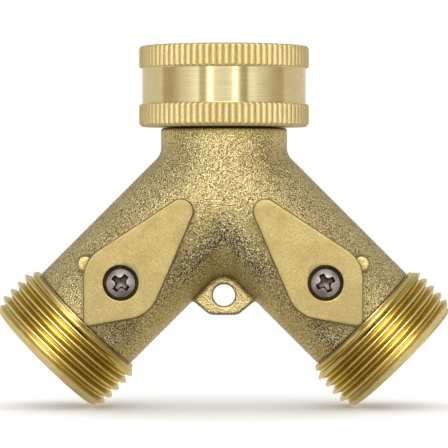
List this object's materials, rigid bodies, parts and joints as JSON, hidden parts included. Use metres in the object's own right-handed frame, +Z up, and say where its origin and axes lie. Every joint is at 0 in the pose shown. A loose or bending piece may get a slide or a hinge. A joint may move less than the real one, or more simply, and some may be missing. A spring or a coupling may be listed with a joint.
{
  "type": "hose splitter",
  "caption": "Y-shaped brass hose splitter with a knurled swivel inlet nut, two male threaded outlets, a lever-worked ball valve in each arm and a hanging web.",
  "frame": {"origin": "on the inlet axis, level with the lowest points of the two outlets", "axes": "+Z up along the inlet axis and out of the swivel nut, +X towards the right outlet seen from the lever side, -Y out of the lever side"},
  "size_m": [0.0806, 0.031, 0.0643],
  "materials": {
    "cast_brass": "shot-blasted forged brass, speckled",
    "bright_brass": "machined and lightly polished",
    "satin_brass": "fine satin blasted",
    "plain_brass": "machined",
    "chrome": "polished chrome plate",
    "steel": "dark plated steel",
    "ptfe": "smooth white",
    "rubber": "matt black"
  },
  "bodies": {
    "fitting": {"body": "cast_brass", "nut_retaining_ring": "steel", "inlet_washer": "rubber", "left_inner_seat": "ptfe", "left_outer_seat": "ptfe", "left_seat_retainer": "plain_brass", "left_stem_washer": "ptfe", "right_inner_seat": "ptfe", "right_outer_seat": "ptfe", "right_seat_retainer": "plain_brass", "right_stem_washer": "ptfe"},
    "inlet_nut": {"swivel_nut": "bright_brass"},
    "left_valve": {"left_lever": "satin_brass", "left_lever_screw": "steel", "left_stem": "plain_brass", "left_stem_o_ring": "rubber", "left_ball": "chrome"},
    "right_valve": {"right_lever": "satin_brass", "right_lever_screw": "steel", "right_stem": "plain_brass", "right_stem_o_ring": "rubber", "right_ball": "chrome"}
  },
  "joints": [
    {"name": "nut_spin", "type": "hinge", "parent": "fitting", "child": "inlet_nut", "pos_m": [0, 0, 0.0563], "axis": [0, 0, 1], "continuous": true},
    {"name": "left_lever_turn", "type": "hinge", "parent": "fitting", "child": "left_valve", "pos_m": [-0.01782, -0.0126, 0.02249], "axis": [0, -1, 0], "range_deg": [-6, 85]},
    {"name": "right_lever_turn", "type": "hinge", "parent": "fitting", "child": "right_valve", "pos_m": [0.01782, -0.0126, 0.02249], "axis": [0, 1, 0], "range_deg": [-6, 85]}
  ]
}
